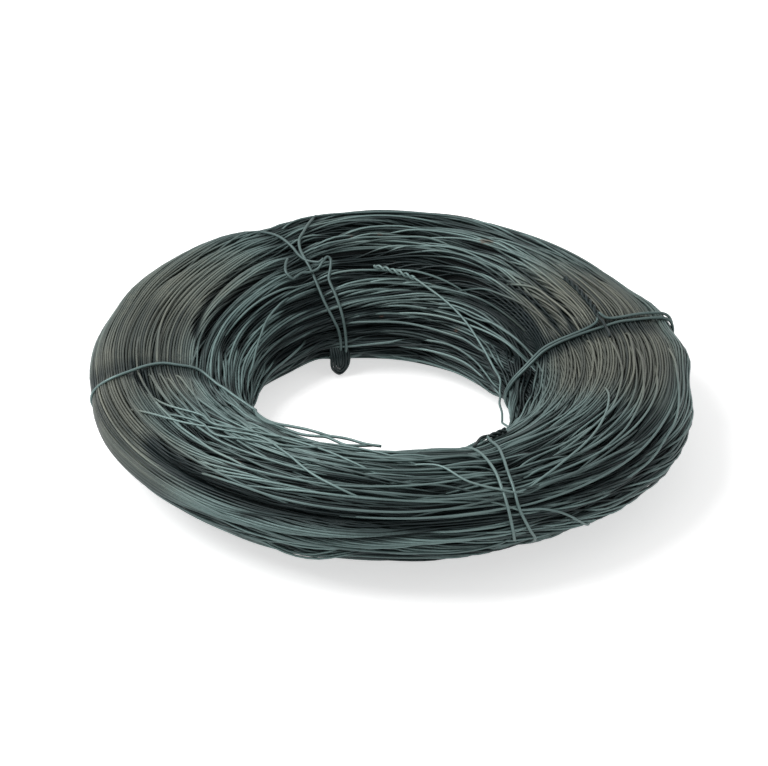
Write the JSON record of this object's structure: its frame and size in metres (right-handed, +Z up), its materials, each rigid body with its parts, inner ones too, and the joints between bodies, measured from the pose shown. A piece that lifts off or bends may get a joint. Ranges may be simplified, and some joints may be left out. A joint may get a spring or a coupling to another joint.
{
  "type": "coil of black annealed steel wire",
  "caption": "Flat round coil of dark annealed steel wire with an open bore, drawn in by twisted wire ties; raw stock for binding and tying.",
  "frame": {"origin": "on the floor, under the middle of the bore", "axes": "+Z up along the bore; +X to the right and +Y away from the viewer of the picture"},
  "size_m": [0.4, 0.3999, 0.0744],
  "materials": {
    "wire": "dull dark annealed skin",
    "tie_wire": "dull dark annealed skin"
  },
  "bodies": {
    "root": {"coil": "wire", "tie_right": "tie_wire", "tie_back": "tie_wire", "tie_left": "tie_wire", "tie_front": "tie_wire"}
  },
  "joints": []
}
